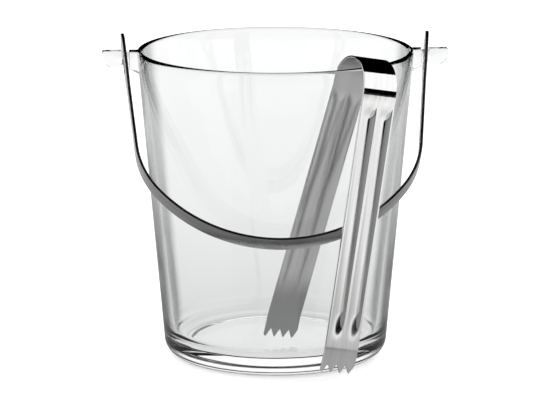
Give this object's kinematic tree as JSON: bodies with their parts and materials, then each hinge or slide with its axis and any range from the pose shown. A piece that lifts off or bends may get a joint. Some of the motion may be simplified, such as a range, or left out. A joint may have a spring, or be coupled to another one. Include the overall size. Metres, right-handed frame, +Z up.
{
  "type": "ice bucket",
  "caption": "Glass ice bucket with a swinging flat steel bail and one-piece spring tongs hung on its rim.",
  "frame": {"origin": "centre of the flat underside", "axes": "+Z up through the mouth, +X along the two lugs and the bail's hinge line, front towards -Y"},
  "size_m": [0.1626, 0.1418, 0.1535],
  "materials": {
    "glass": "polished",
    "bail_steel": "brushed",
    "tongs_steel": "polished"
  },
  "bodies": {
    "bucket": {"glass_bucket": "glass"},
    "bail": {"bail_handle": "bail_steel"},
    "tongs": {"tongs_bow": "tongs_steel", "tongs_outer_arm": "tongs_steel"},
    "inner_arm": {"tongs_inner_arm": "tongs_steel"}
  },
  "joints": [
    {"name": "bail_swing", "type": "hinge", "parent": "bucket", "child": "bail", "pos_m": [0, 0, 0.1422], "axis": [-1, 0, 0], "range_deg": [0, 281]},
    {"name": "tongs_lift", "type": "slide", "parent": "bucket", "child": "tongs", "axis": [0, 0, 1], "range_m": [0, 0.2]},
    {"name": "tongs_squeeze", "type": "hinge", "parent": "tongs", "child": "inner_arm", "pos_m": [0.03295, -0.03049, 0.13679], "axis": [-0.8944, -0.402, 0.1959], "range_deg": [0, 10.5], "stiffness_Nm_per_rad": 2, "deforming": ["tongs_bow"]}
  ]
}
